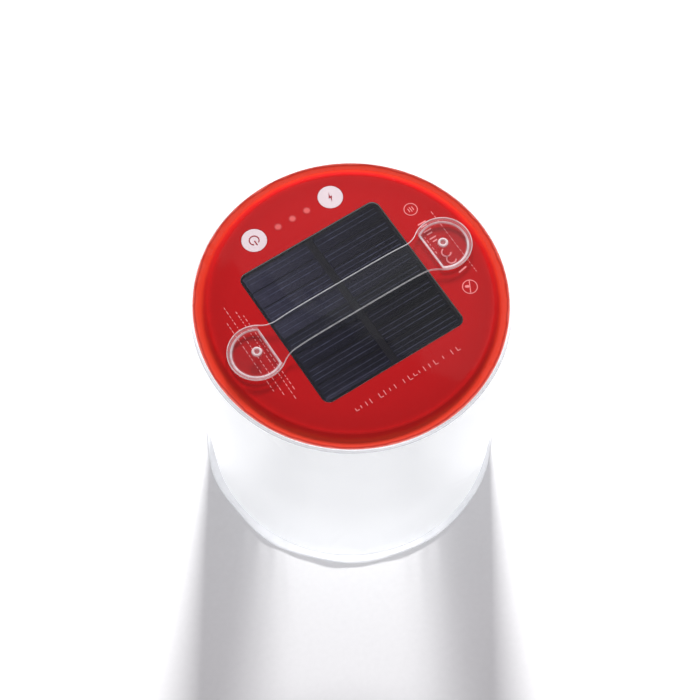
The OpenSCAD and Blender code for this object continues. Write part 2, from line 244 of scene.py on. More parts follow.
def frosted_film():
    """The drum's white frosted film: soft and bright. A lamp's rays pass where they meet it nearly
    face on and stop where they graze it, which leaves the bright middle between two dark wedges."""
    s = Shader("frosted_film")
    cloud = s.noise(9 * MM, 4)
    grain = s.noise(0.35 * MM, 2)
    film = s.add("BsdfPrincipled", {
        "Base Color": s.ramp(cloud, [(0.3, srgb(196, 198, 202)), (0.7, srgb(204, 206, 209))]),
        "Roughness": s.spread(grain, 0.28, 0.42),
        # The emission paints glow on the film: it stands for the lantern's light from inside and brightens
        # the whole drum.
        "Emission Color": (0.98, 0.99, 1, 1), "Emission Strength": 0.42,
        "Normal": s.bump(grain, 0.3, 0.02 * MM)})
    through = s.add("BsdfTranslucent", {"Color": (0.93, 0.94, 0.96, 1)})
    body = s.mix(0.03, film.outputs["BSDF"], through.outputs["BSDF"])
    facing = s.add("LayerWeight", {"Blend": 0.5}).outputs["Facing"]
    shadow = s.add("LightPath").outputs["Is Shadow Ray"]
    through_share = s.add("MapRange", {
        "Value": facing, "From Min": 0.18, "From Max": 0.56, "To Min": 0.87, "To Max": 0.0},
        interpolation_type="SMOOTHSTEP").outputs["Result"]
    open_share = s.math("MULTIPLY", through_share, shadow)
    clear = s.add("BsdfTransparent", {"Color": (1, 1, 1, 1)})
    return s.done(s.mix(open_share, body, clear.outputs["BSDF"]))


def skirt_film():
    """The loose edge of the base seam: milky film with painted glow, which stands for the lantern's own
    light filling it.
    """
    s = Shader("skirt_film")
    cloud = s.noise(7 * MM, 2, 0.4)
    milk = s.add("BsdfPrincipled", {
        "Base Color": s.ramp(cloud, [(0.3, srgb(206, 208, 212)), (0.7, srgb(214, 215, 218))]),
        "Roughness": 0.3, "Emission Color": (0.97, 0.98, 1, 1), "Emission Strength": 0.38,
        "Normal": s.bump(cloud, 0.4, 0.1 * MM)})
    clear = s.add("BsdfTransparent", {"Color": (0.97, 0.975, 0.98, 1)})
    return s.done(s.mix(s.spread(cloud, 0.6, 0.8), clear.outputs["BSDF"], milk.outputs["BSDF"]))


def red_film():
    """The printed top film: deep red, turning to an orange ring outside the capsule that glows with
    painted light.
    """
    s = Shader("printed_red_film")
    wobble = s.math("SUBTRACT", s.noise(5 * MM, 3), 0.5)
    r = s.math("ADD", s.radius(), s.math("MULTIPLY", wobble, 1.2 * MM))
    reach = 55 * MM
    share = s.add("MapRange", {"Value": r, "From Min": 0.0, "From Max": reach}).outputs["Result"]
    # Painted light in the colour: it lightens towards 48.7 mm against the gutter's shade, and the orange
    # from 49.3 to 51.4 mm is painted glow of the lantern's light through the film. Then come a dark seam
    # line and a pale edge.
    base = s.ramp(share, [
        (0.0, srgb(164, 11, 16)),
        (0.70, srgb(162, 11, 15)),
        (0.82, srgb(156, 10, 13)),
        (48.7 * MM / reach, srgb(172, 14, 15)),
        (49.3 * MM / reach, srgb(186, 36, 20)),
        (51.4 * MM / reach, srgb(190, 52, 34)),
        (51.8 * MM / reach, srgb(140, 16, 16)),
        (52.3 * MM / reach, srgb(200, 90, 76)),
    ])
    # The emission is painted glow: from 46.4 mm out it stands for the lantern's light through the film and
    # lifts the gutter's shade.
    painted_glow = s.ramp(share, [
        (46.4 * MM / reach, (0, 0, 0, 1)),
        (47.8 * MM / reach, srgb(190, 14, 12)),
        (49.6 * MM / reach, srgb(176, 44, 24)),
    ])
    grain = s.noise(0.3 * MM, 2)
    shader = s.add("BsdfPrincipled", {
        "Base Color": base, "Roughness": s.spread(grain, 0.38, 0.5), "Specular IOR Level": 0.05,
        "Emission Color": painted_glow, "Emission Strength": 0.22,
        "Normal": s.bump(s.noise(6 * MM, 3), 0.35, 0.12 * MM)})
    return s.done(shader.outputs["BSDF"])


def cell_silicon():
    """Solar cells: blue-black with a fine bright speckle, paler towards -X and darker towards +X as
    painted sheen.
    """
    s = Shader("cell_silicon")
    speckle = s.ramp(s.noise(0.26 * MM, 2, 0.8), [(0.5, (0, 0, 0, 1)), (0.75, (1, 1, 1, 1))])
    # Painted sheen: both colour ramps run from paler at -X to darker at +X.
    across = s.add("SeparateXYZ", {"Vector": s.place()}).outputs["X"]
    side = s.add("MapRange", {
        "Value": across, "From Min": -PANEL_HALF, "From Max": PANEL_HALF}).outputs["Result"]
    dark = s.ramp(side, [(0.0, srgb(38, 36, 48)), (0.5, srgb(17, 15, 26)), (1.0, srgb(4, 3, 9))])
    bright = s.ramp(side, [(0.0, srgb(76, 74, 92)), (0.5, srgb(48, 47, 64)), (1.0, srgb(26, 25, 38))])
    base = s.add("Mix", {0: speckle, 6: dark, 7: bright}, data_type="RGBA").outputs[2]
    shader = s.add("BsdfPrincipled", {
        "Base Color": base, "Roughness": s.spread(speckle, 0.4, 0.55), "Specular IOR Level": 0.1})
    return s.done(shader.outputs["BSDF"])


def floor_paper():
    """A plain pale floor with a barely visible paper grain."""
    s = Shader("floor_paper")
    grain = s.noise(2 * MM, 2)
    shader = s.add("BsdfPrincipled", {
        "Base Color": s.ramp(grain, [(0.2, (0.86, 0.86, 0.87, 1)), (0.8, (0.89, 0.89, 0.9, 1))]),
        "Roughness": s.spread(grain, 0.8, 0.95), "Specular IOR Level": 0.1})
    return s.done(shader.outputs["BSDF"])


def make_materials():
    """Every material of the lantern, by name."""
    return {
        "frosted": frosted_film(),
        "red": red_film(),
        "cells": cell_silicon(),
        "cover": clear_film("cover_film", 0.0015, (RIM_R - 0.3 * MM, RIM_R + 0.6 * MM, 0.35)),
        "resin": clear_film("panel_resin", 0.001, ripple=0.02 * MM, roughness=0.12, index=1.15),
        "strap": clear_film("strap_film", 0.0015, ripple=0.06 * MM, ripple_size=5 * MM, index=1.3),
        # strap_edge is milky film whose white lines are a painted highlight, put on the edges of the
        # strap, the patches' beads and the snap heads' rims.
        "strap_edge": clear_film("strap_edge", 0.44, ripple=0.1 * MM, ripple_size=2 * MM, roughness=0.08),
        "strap_milk": clear_film("strap_milk", 0.075, ripple=0.1 * MM, ripple_size=2 * MM, roughness=0.08),
        "patch": clear_film("patch_film", 0.002, ripple=0.05 * MM, ripple_size=4 * MM, index=1.25),
        "skirt": skirt_film(),
        "snap": clear_film("snap_plastic", 0.06, ripple=0.03 * MM, ripple_size=1 * MM, roughness=0.06),
        "valve": moulded("valve_plastic", srgb(226, 230, 234), 0.32, coat=0.2),
        "base": moulded("base_film", srgb(240, 241, 243), 0.35, depth=0.03 * MM),
        "button": moulded("button_white", srgb(200, 184, 187), 0.38, uneven=0.02),
        "print": moulded("pink_print", srgb(218, 128, 128), 0.5, uneven=0.12),
        "icon": moulded("icon_red", srgb(140, 36, 42), 0.5, uneven=0.05),
        "light_pipe": moulded("light_pipe", srgb(200, 84, 82), 0.3, uneven=0.05),
        "halo": moulded("light_halo", srgb(166, 30, 32), 0.5, uneven=0.05),
        "finger": moulded("cell_finger", srgb(62, 64, 84), 0.5, uneven=0.3),
        "panel_black": moulded("panel_black", srgb(13, 11, 18), 0.5),
        "white": moulded("capsule_white", srgb(236, 236, 234), 0.45),
        "lens": clear_film("capsule_lens", 0.2, ripple=0.05 * MM, ripple_size=3 * MM, roughness=0.2),
        "rubber": moulded("gasket_rubber", srgb(70, 70, 72), 0.7, depth=0.04 * MM),
        "board": moulded("board_green", srgb(28, 92, 56), 0.4, grain=0.4 * MM, uneven=0.12),
        "part": moulded("part_black", srgb(38, 38, 40), 0.5),
        "steel": moulded("screw_steel", srgb(190, 190, 196), 0.28, metallic=1.0),
        "foil": moulded(
            "pouch_foil", srgb(200, 202, 208), 0.35, grain=2 * MM, depth=0.1 * MM, metallic=0.8),
        "diode": moulded("diode_yellow", srgb(244, 232, 170), 0.3, coat=0.5),
        "lead_red": moulded("lead_red", srgb(180, 28, 28), 0.5),
        "lead_black": moulded("lead_black", srgb(30, 30, 32), 0.5),
    }


# ---------------------------------------------------------------- mesh helpers

def new_piece(name, vertices, faces, material, smooth=True):
    """A mesh object in the scene, shaded smooth except at sharp corners."""
    mesh = bpy.data.meshes.new(name)
    mesh.from_pydata([tuple(v) for v in vertices], [], faces)
    mesh.validate()
    mesh.materials.append(material)
    piece = bpy.data.objects.new(name, mesh)
    bpy.context.scene.collection.objects.link(piece)
    if smooth:
        mesh.polygons.foreach_set("use_smooth", [True] * len(mesh.polygons))
        mesh.set_sharp_from_angle(angle=math.radians(50))
    return piece


def lathe(name, profile, material, place=None, centre=(0, 0), segments=SEGMENTS):
    """Turns a closed profile of (radius, height) points about an upright axis.
    place(angle, radius, height) may move each point. A radius of 0 becomes one point."""
    place = place or (lambda angle, radius, height: (radius, height))
    vertices, rings = [], []
    for radius, height in profile:
        if radius == 0:
            rings.append([len(vertices)])
            vertices.append((centre[0], centre[1], place(0, 0, height)[1]))
            continue
        ring = []
        for k in range(segments):
            angle = 2 * math.pi * k / segments
            r, z = place(angle, radius, height)
            ring.append(len(vertices))
            vertices.append((centre[0] + r * math.cos(angle), centre[1] + r * math.sin(angle), z))
        rings.append(ring)
    faces = []
    for a, b in zip(rings, rings[1:] + rings[:1]):
        for k in range(segments):
            following = (k + 1) % segments
            if len(a) > 1 and len(b) > 1:
                faces.append((a[k], a[following], b[following], b[k]))
            elif len(a) > 1:
                faces.append((a[k], a[following], b[0]))
            elif len(b) > 1:
                faces.append((a[0], b[following], b[k]))
    return new_piece(name, vertices, faces, material)


class Plates:
    """Collects thin flat shapes into one mesh."""

    def __init__(self):
        self.vertices = []
        self.faces = []

    def prism(self, outline, low, high):
        """A plate with that outline between two heights."""
        first, count = len(self.vertices), len(outline)
        self.vertices += [(x, y, low) for x, y in outline] + [(x, y, high) for x, y in outline]
        self.faces.append(tuple(range(first + count - 1, first - 1, -1)))
        self.faces.append(tuple(range(first + count, first + 2 * count)))
        for k in range(count):
            n = (k + 1) % count
            self.faces.append((first + k, first + n, first + count + n, first + count + k))

    def arc_band(self, x, y, inner, outer, start, end, low, high, steps=48):
        """Part of a flat ring, from one angle to another, in degrees."""
        angles = [math.radians(start + (end - start) * k / steps) for k in range(steps + 1)]
        outline = [(x + outer * math.cos(a), y + outer * math.sin(a)) for a in angles]
        outline += [(x + inner * math.cos(a), y + inner * math.sin(a)) for a in reversed(angles)]
        self.prism(outline, low, high)

    def bar(self, x, y, length, width, angle, low, high):
        """A bar with round ends, its middle at x, y."""
        half, r = length / 2 - width / 2, width / 2
        turn = math.radians(angle)
        steps = 8
        outline = []
        for side in (1, -1):
            for k in range(steps + 1):
                a = math.radians(-90 + 180 / steps * k) + (0 if side > 0 else math.pi)
                px, py = side * half + r * math.cos(a), r * math.sin(a)
                outline.append((x + px * math.cos(turn) - py * math.sin(turn),
                                y + px * math.sin(turn) + py * math.cos(turn)))
        self.prism(outline, low, high)

    def piece(self, name, material):
        """The plates so far, as one object with flat faces."""
        return new_piece(name, self.vertices, self.faces, material, smooth=False)


def smooth_step(t):
    """Rises from 0 to 1 as t does, with level ends."""
    t = max(0.0, min(1.0, t))
    return t * t * (3 - 2 * t)


def waves(seed, lowest, highest, count=7):
    """A function of an angle: several waves round the drum, about 1 high in all."""
    source = random.Random(seed)
    parts = [(source.randint(lowest, highest), source.uniform(0, 2 * math.pi), source.uniform(0.4, 1))
             for _ in range(count)]
    total = sum(p[2] for p in parts)

    def value(angle):
        return sum(size * math.sin(turns * angle + start) for turns, start, size in parts) / total * 2
    return value


# ---------------------------------------------------------------- the drum

PLATEAU_R = radius_of("capsule_top") + 0.8 * MM
GUTTER_R = PLATEAU_R + 2.8 * MM
GUTTER_DROP = 1.5 * MM
RIM_RISE = 0.3 * MM


def top_drop(r):
    """How far the top films lie below the plateau at radius r."""
    def ease(t):
        return (1 - math.cos(math.pi * t)) / 2
    if r <= PLATEAU_R:
        return 0.0
    if r <= GUTTER_R:
        return GUTTER_DROP * ease((r - PLATEAU_R) / (GUTTER_R - PLATEAU_R))
    return GUTTER_DROP - RIM_RISE * ease(min(1, (r - GUTTER_R) / (RIM_R - GUTTER_R)))


def make_creases(top, source):
    """Soft creases at random places in the drum film, most of them near its foot."""
    creases = []
    for _ in range(26):
        low_crease = source.random() < 0.65
        creases.append((
            source.uniform(0, 2 * math.pi),
            source.uniform(6, 34) * MM if low_crease else top - source.uniform(6, 26) * MM,
            source.uniform(-0.9, 0.9), source.uniform(5, 13) * MM, source.uniform(0.10, 0.32) * MM))
    return creases


def wall_shape(foot, top, bulge):
    """A function that places a point of the drum: a slight bulge, puckers at both seams and creases."""
    pucker_low, pucker_high = waves(3, 17, 49, 9), waves(8, 23, 61, 9)
    slow = waves(5, 2, 7, 4)
    creases = make_creases(top, random.Random(11))

    def place(angle, radius, height):
        share = (height - foot) / (top - foot)
        swell = bulge * math.sin(math.pi * share) ** 0.7
        near_foot = math.exp(-(height - foot) / (7 * MM))
        near_top = math.exp(-(top - height) / (5 * MM))
        r = radius + swell + 0.12 * MM * slow(angle + share)
        r += 0.30 * MM * pucker_low(angle) * near_foot * smooth_step((height - foot) / (2 * MM))
        r += 0.16 * MM * pucker_high(angle) * near_top * smooth_step((top - height) / (2 * MM))
        for centre, level, slant, length, depth in creases:
            across = math.remainder(angle - centre, 2 * math.pi) * radius
            along = height - level
            line = across - slant * along
            fade = math.exp(-(along / length) ** 2)
            if abs(line) < 6 * MM and fade > 0.02:
                r -= depth * fade * math.exp(-(line / (1.1 * MM)) ** 2)
                r += 0.5 * depth * fade * math.exp(-((line - 2.2 * MM) / (1.4 * MM)) ** 2)
        return r, height
    return place


def make_lap_seam(place, foot, top, radius, material):
    """The strip up the back of the drum, which follows the film's shape."""
    half_angle = math.radians(3)
    start, length = foot + 1 * MM, top - foot - 7 * MM
    rows, columns = 60, 6
    vertices, faces = [], []
    for layer in (0.05 * MM, 0.3 * MM):
        for i in range(rows + 1):
            height = start + length * i / rows
            for j in range(columns + 1):
                angle = math.pi / 2 - half_angle + 2 * half_angle * j / columns
                r = place(angle, radius, height)[0] + layer
                vertices.append((r * math.cos(angle), r * math.sin(angle), height))
    wide, count = columns + 1, (rows + 1) * (columns + 1)
    for i in range(rows):
        for j in range(columns):
            a = i * wide + j
            faces.append((a, a + 1, a + wide + 1, a + wide))
            faces.append((count + a, count + a + wide, count + a + wide + 1, count + a + 1))
    border = list(range(columns)) + [i * wide + columns for i in range(rows)]
    border += [rows * wide + j for j in range(columns, 0, -1)] + [i * wide for i in range(rows, 0, -1)]
    for a, b in zip(border, border[1:] + border[:1]):
        faces.append((b, a, count + a, count + b))
    return new_piece("wall_seam", vertices, faces, material)


def make_wall(materials):
    """The frosted film drum and its lap seam."""
    foot, top = FLANGE_T, SEAM_TOP + 0.25 * MM
    seam_r = FLANGE_R - 1.2 * MM
    place = wall_shape(foot, top, WALL_R - seam_r)
    steps = 90
    outer = [(seam_r, foot + (top - foot) * k / steps) for k in range(steps + 1)]
    inner = [(seam_r - FILM_T, z) for _, z in reversed(outer)]
    wall = lathe("frosted_wall", outer + inner, materials["frosted"], place, segments=FINE_SEGMENTS)
    seam = make_lap_seam(place, foot, top, seam_r, materials["frosted"])
    for piece, node in ((wall, "side_wall"), (seam, "wall_lap_seam")):
        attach(piece, "base")
        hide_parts(node)
        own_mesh(piece)


def make_base_film(materials):
    """The base film, dished upwards round the valve, with faint rays on its slope."""
    rise = top_of("base_film") - 0.45 * MM
    dish_r, foot_r = 40 * MM, 50 * MM
    hole_r, end_r = 5.3 * MM, 52.4 * MM  # from just outside the neck of the valve collar
    ray = waves(21, 19, 43, 8)

    def dish(angle, radius, height):
        inner_fade = smooth_step((radius - 20 * MM) / (25 * MM))
        outer_fade = 1 - smooth_step((radius - 47 * MM) / (4 * MM))
        return radius, height + 0.25 * MM * ray(angle) * inner_fade * outer_fade

    def level(r):
        return FLANGE_T + (rise - FLANGE_T) * (1 - smooth_step((r - dish_r) / (foot_r - dish_r)))

    steps = 26
    radii = [hole_r + (end_r - hole_r) * k / steps for k in range(steps + 1)]
    lower = [(r, level(r)) for r in radii]
    upper = [(r, level(r) + FILM_T) for r in reversed(radii)]
    film = lathe("base_dish_film", lower + upper, materials["base"], dish)
    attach(film, "base")
    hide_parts("base_film")


def make_skirt(materials):
    """The loose, rippled edge of the base seam, widest at the front left and never below the floor."""
    ripple, edge = waves(31, 9, 27, 8), waves(37, 3, 11, 5)
    front_left = math.radians(215)

    def flange(angle, radius, height):
        share = smooth_step((radius - 53 * MM) / (3.4 * MM))
        wide = 0.3 * edge(angle) + 1.1 * math.cos(angle - front_left) - 1.4
        r = radius + share * wide * MM
        return r, height + share * 0.45 * MM * max(0.0, 1 + ripple(angle))

    inner_r = BASE_R - 4.9 * MM
    steps = 10
    radii = [inner_r + (BASE_R - 0.2 * MM - inner_r) * k / steps for k in range(steps + 1)]
    lower = [(r, 0.0) for r in radii]
    upper = [(r, 0.75 * MM) for r in reversed(radii)]
    bead = [(BASE_R, 0.2 * MM), (BASE_R, 0.55 * MM)]
    skirt = lathe(
        "base_skirt", lower + bead + upper, materials["skirt"], flange, segments=FINE_SEGMENTS)
    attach(skirt, "base")
    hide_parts("base_weld_ring")


def make_cover(materials):
    """The clear film over the whole top, with its rolled edge down to the drum's seam."""
    unevenness = waves(41, 2, 9, 6)
    pucker = waves(43, 27, 71, 9)

    def place(angle, radius, height):
        share = smooth_step(radius / (30 * MM))
        slack = 0.03 * MM * share * unevenness(angle + radius * 60)
        edge = smooth_step((radius - PLATEAU_R) / (4 * MM))
        return radius, height + slack + 0.07 * MM * edge * pucker(angle)

    steps = 40
    radii = [RIM_R * 1.002 * k / steps for k in range(steps + 1)]
    upper = [(r, FILM_TOP - top_drop(r)) for r in radii]
    lower = [(r, SHEET_TOP + 0.13 * MM - top_drop(r)) for r in reversed(radii)]
    shoulder = FILM_TOP - top_drop(RIM_R)
    lip = (FLANGE_R - RIM_R) * 0.6
    drop = (shoulder - SEAM_TOP + 0.2 * MM) / 2
    roll_steps = 12
    roll = []
    for k in range(1, roll_steps + 1):
        turn = math.pi * k / roll_steps
        roll.append((RIM_R + lip * math.sin(turn / 2) ** 0.8, shoulder - drop * (1 - math.cos(turn))))
    under = [(RIM_R + 0.6 * MM, SEAM_TOP - 0.2 * MM), (RIM_R + 0.15 * MM, SEAM_TOP + 0.1 * MM)]
    cover = lathe("cover_film", upper + roll + under + lower, materials["cover"], place, segments=320)
    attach(cover, "top_unit")
    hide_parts("clear_cover", "top_weld_ring")


# ---------------------------------------------------------------- the strap

STRAP_HALF = 6.1 * MM
FILLET_R = 9 * MM
STRAP_T = 0.8 * MM
BOW = STRAP_MID_TOP - STRAP_FOOT - STRAP_T
FILLET_Y = STRAP_HALF + FILLET_R
FILLET_X = SNAP - math.sqrt((TAB_R + FILLET_R) ** 2 - FILLET_Y ** 2)


def strap_height(x):
    """Height of the strap's underside at x: flat at its ends and bowed over the panel."""
    if abs(x) >= FOLD:
        return STRAP_FOOT
    return STRAP_FOOT + BOW * (1 - math.cos(math.pi * (1 - (abs(x) / FOLD) ** 3))) / 2


def strap_edge():
    """The strap's outline along its +Y side, from end to end: (x, y, outward x, outward y)."""
    sweep = math.atan2(SNAP - FILLET_X, FILLET_Y)
    straight, bend, tip = 24, 20, 40
    side = []
    for k in range(straight + 1):
        side.append((FILLET_X * k / straight, STRAP_HALF, 0.0, 1.0))
    for k in range(1, bend + 1):
        a = sweep * k / bend
        side.append((
            FILLET_X + FILLET_R * math.sin(a), FILLET_Y - FILLET_R * math.cos(a),
            -math.sin(a), math.cos(a)))
    for k in range(1, tip + 1):
        a = (math.pi / 2 + sweep) * (1 - k / tip)
        side.append((SNAP + TAB_R * math.cos(a), TAB_R * math.sin(a), math.cos(a), math.sin(a)))
    other = [(-x, y, -nx, ny) for x, y, nx, ny in reversed(side[1:])]
    return other + side


def inside_strap(x, y, inset):
    """True if a point lies further than inset inside the strap's outline."""
    x, y = abs(x), abs(y)
    if x <= FILLET_X:
        return y < STRAP_HALF - inset
    if math.hypot(x - SNAP, y) < TAB_R - inset:
        return True
    touch = SNAP - (SNAP - FILLET_X) * TAB_R / (TAB_R + FILLET_R)
    return x < touch and math.hypot(x - FILLET_X, y - FILLET_Y) > FILLET_R + inset and y < FILLET_Y


def merge_close(piece):
    """Joins points that lie on each other, as where the strap's two sides meet at its tips."""
    mesh = bmesh.new()
    mesh.from_mesh(piece.data)
    bmesh.ops.remove_doubles(mesh, verts=mesh.verts, dist=1e-6)
    bmesh.ops.recalc_face_normals(mesh, faces=mesh.faces)
    mesh.to_mesh(piece.data)
    mesh.free()


def strap_mesh():
    """The strap's points and faces: a flat middle with a raised, rounded edge all the way round."""
    side = strap_edge()
    # Both rows go inwards from the edge: (distance in, height above the strap's underside), in mm.
    section = [
        (0.0, 0.45), (0.03, 0.62), (0.12, 0.76), (0.28, 0.80), (0.44, 0.78), (0.60, 0.68), (0.76, 0.60),
        (1.1, 0.58)]
    under = [(0.0, 0.3), (0.05, 0.1), (0.2, 0.0), (1.1, 0.0)]
    vertices, faces = [], []

    def line(inset, lift, mirror):
        row = []
        for x, y, nx, ny in side:
            px, py = x - nx * inset * MM, max(0.0, y - ny * inset * MM)
            row.append(len(vertices))
            vertices.append((px, -py if mirror else py, strap_height(px) + lift * MM))
        return row

    def skin(rows, flip):
        for a, b in zip(rows, rows[1:]):
            for k in range(len(side) - 1):
                quad = (a[k], a[k + 1], b[k + 1], b[k])
                faces.append(quad[::-1] if flip else quad)

    upper_far = [line(inset, lift, False) for inset, lift in section]
    upper_near = [line(inset, lift, True) for inset, lift in section]
    lower_far = [line(inset, lift, False) for inset, lift in under]
    lower_near = [line(inset, lift, True) for inset, lift in under]
    skin(lower_far[::-1] + upper_far, False)
    skin(lower_near[::-1] + upper_near, True)
    skin([upper_far[-1], upper_near[-1]], False)
    skin([lower_far[-1], lower_near[-1]], True)
    return vertices, faces


def make_strap(materials):
    """The clear strap as one strip, with a painted highlight of milky film along its edge, and milky in a
    narrow band round each end.
    """
    vertices, faces = strap_mesh()
    strap = new_piece("clear_strap", vertices, faces, materials["strap"])
    merge_close(strap)
    strap.data.materials.append(materials["strap_edge"])
    strap.data.materials.append(materials["strap_milk"])
    for polygon in strap.data.polygons:
        x, y, _ = polygon.center
        # The outermost band takes the second material, strap_edge: a painted highlight along the edge.
        if not inside_strap(x, y, 0.24 * MM):
            polygon.material_index = 1
        elif abs(x) > FOLD and not inside_strap(x, y, 1.1 * MM):
            polygon.material_index = 2
    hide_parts("strap_tab_left", "strap_band")
    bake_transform(strap)


def make_patches(materials):
    """The D-shaped patches welded under the strap's ends, each with a thick bead round it."""
    for side, name in ((-1, "left"), (1, "right")):
        node = "strap_patch_" + name
        lo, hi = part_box(node)
        r, height = (hi.y - lo.y) / 2, hi.z - lo.z
        start, steps = math.acos((SNAP - FOLD) / r), 60
        arc = [start + (2 * math.pi - 2 * start) * k / steps for k in range(steps + 1)]
        outline = [(-math.cos(a), math.sin(a)) for a in arc]
        # Inwards from the edge: (distance in, in mm; share of the patch's height).
        section = [(0, 0.0), (0, 0.6), (0.08, 0.9), (0.3, 1.0), (0.5, 0.9), (0.75, 0.72), (1.1, 0.66)]
        vertices, faces, rings = [], [], []
        for inset, lift in section:
            ring = []
            for cx, sy in outline:
                x = max(SNAP + cx * (r - inset * MM), FOLD + inset * MM)
                y = sy * (r - inset * MM)
                ring.append(len(vertices))
                vertices.append((side * x, y, lo.z + lift * height))
            rings.append(ring)
        count = len(outline)
        for a, b in zip(rings, rings[1:]):
            for k in range(count):
                n = (k + 1) % count
                faces.append((a[k], a[n], b[n], b[k]))
        faces.append(tuple(rings[-1]))
        faces.append(tuple(reversed(rings[0])))
        patch = new_piece("weld_patch_" + name, vertices, faces, materials["patch"])
        merge_close(patch)
        patch.data.materials.append(materials["strap_edge"])
        patch.data.materials.append(materials["strap_milk"])
        for polygon in patch.data.polygons:
            if len(polygon.vertices) <= 4:
                share = (polygon.center.z - lo.z) / height
                # Round the bead's crest the faces take strap_edge, a painted highlight; its other faces
                # outside the flat middle take strap_milk.
                polygon.material_index = 1 if 0.7 < share < 0.96 else 2
        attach(patch, "top_unit")
        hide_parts(node)


def make_snaps(materials):
    """Domed snap heads with a sunk middle."""
    # From the middle out: (radius in mm on a head of 1.9 mm, share of the head's height).
    profile_r = 1.9
    profile = [(0, 0.12), (0.45, 0.14), (0.7, 0.22), (0.85, 0.42), (1.0, 0.58)]
    profile += [(1.25, 0.64), (1.5, 0.58), (1.7, 0.44), (1.84, 0.26), (1.9, 0.08), (1.9, 0.0), (0, 0.0)]
    for name, body in (("left", "top_unit"), ("right", "strap")):
        node = "snap_cap_" + name
        middle, foot = centre_of(node), bottom_of(node)
        r, height = radius_of(node), top_of(node) - foot
        points = [(px / profile_r * r, foot + pz * height) for px, pz in profile]
        head = lathe("snap_head_" + name, points, materials["snap"],
                     centre=(middle.x, middle.y), segments=64)
        head.data.materials.append(materials["strap_edge"])
        # A ring round each head's dome takes strap_edge, a painted highlight.
        for polygon in head.data.polygons:
            out = math.hypot(polygon.center.x - middle.x, polygon.center.y - middle.y)
            if 0.45 * r < out < 0.85 * r and polygon.center.z > foot + 0.1 * height:
                polygon.material_index = 1
        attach(head, body)
        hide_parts(node)


# ---------------------------------------------------------------- panel and printing

# For each strip of cells, from +Y down: the first pale line's distance above the strip's middle
# and how many lines show, in millimetres.
STRIP_LINES = [(1.9, 2), (1.7, 2), (2.5, 3), (0.9, 2), (2.0, 2), (1.4, 2), (2.1, 3), (1.6, 3)]
LINE_PITCH = 1.83 * MM
FULL_TURN = 359.9  # an arc that ends just short of its start


def make_cell_lines(materials):
    """The thin printed conductors across the cell strips, in pieces of uneven width."""
    lo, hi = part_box("solar_cells")
    source = random.Random(5)
    z = hi.z
    plates = Plates()
    pitch = (hi.y - lo.y) / len(STRIP_LINES)
    start, end = 1.5 * MM, hi.x - 0.5 * MM
    parts, filled = 6, 0.94
    for row, (first, count) in enumerate(STRIP_LINES):
        middle = hi.y - pitch * (row + 0.5)
        for k in range(count):
            y = middle + first * MM - k * LINE_PITCH
            for side in (-1, 1):
                for part in range(parts):
                    a = start + (end - start) * part / parts
                    b = start + (end - start) * (part + filled) / parts
                    width = source.uniform(0.10, 0.19) * MM
                    plates.bar(side * (a + b) / 2, y, b - a, width, 0, z, z + PRINT_T)
    fingers = plates.piece("cell_lines", materials["finger"])
    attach(fingers, "top_unit")


# The marks stand in for the print on such a lantern and spell nothing. Places are in millimetres
# from the axis.
STROKE_ROW = (-20.2, 22, -33.8)  # from x, to x, at y
DASH_COLUMNS = [  # x, from y, to y, seed
    (-38.9, 15, -14, 10), (-36.8, 20.4, -17, 11), (-34.3, 17, -18.6, 12), (-32.9, 14.5, -16, 13),
    (40.7, 13, -13.6, 20), (33.4, 6, -1, 21)]
BAR_PAIRS = [(11, 3.2), (7.6, 3.0), (4.4, 2.6)]  # y, length of the longer bar
OPEN_ARCS = [-2.6, -5.6]  # y
RINGS = [(35.4, 17.4, 2.4), (35.6, -17.5, 2.6)]  # x, y, radius


def print_strokes(plates):
    """A row of short upright strokes, some with a foot."""
    source = random.Random(2)
    x, last, y = (value * MM for value in STROKE_ROW)
    while x < last:
        tall = source.choice((1.2, 1.6, 1.9)) * MM
        plates.bar(x, y, tall, 0.26 * MM, 90, PRINT_Z, PRINT_TOP)
        if source.random() < 0.5:
            foot_y = y - tall / 2 + 0.13 * MM
            plates.bar(x + 0.55 * MM, foot_y, 1.1 * MM, 0.24 * MM, 0, PRINT_Z, PRINT_TOP)
        x += source.choice((1.7, 2.0, 2.0, 3.4)) * MM


def print_dashes(plates):
    """Columns of short dashes of uneven length, along Y."""
    for x, y_from, y_to, seed in DASH_COLUMNS:
        source = random.Random(seed)
        y = y_from * MM
        while y > y_to * MM:
            length = source.uniform(0.5, 1.5) * MM
            plates.bar(x * MM, y - length / 2, length, 0.24 * MM, 90, PRINT_Z, PRINT_TOP)
            y -= length + source.uniform(0.35, 0.8) * MM


def print_bars(plates):
    """Pairs of bars, two open arcs and a slanting bar, by the right patch."""
    x, width = 35.6 * MM, 0.5 * MM
    for y, length in BAR_PAIRS:
        plates.bar(x, y * MM, length * MM, width, 0, PRINT_Z, PRINT_TOP)
        plates.bar(x, (y - 1.3) * MM, (length - 0.8) * MM, width, 0, PRINT_Z, PRINT_TOP)
    for y in OPEN_ARCS:
        plates.arc_band(36.3 * MM, y * MM, 1.3 * MM, 1.8 * MM, 100, 330, PRINT_Z, PRINT_TOP)
    plates.bar(37.2 * MM, -10.9 * MM, 3.4 * MM, 0.55 * MM, 10, PRINT_Z, PRINT_TOP)


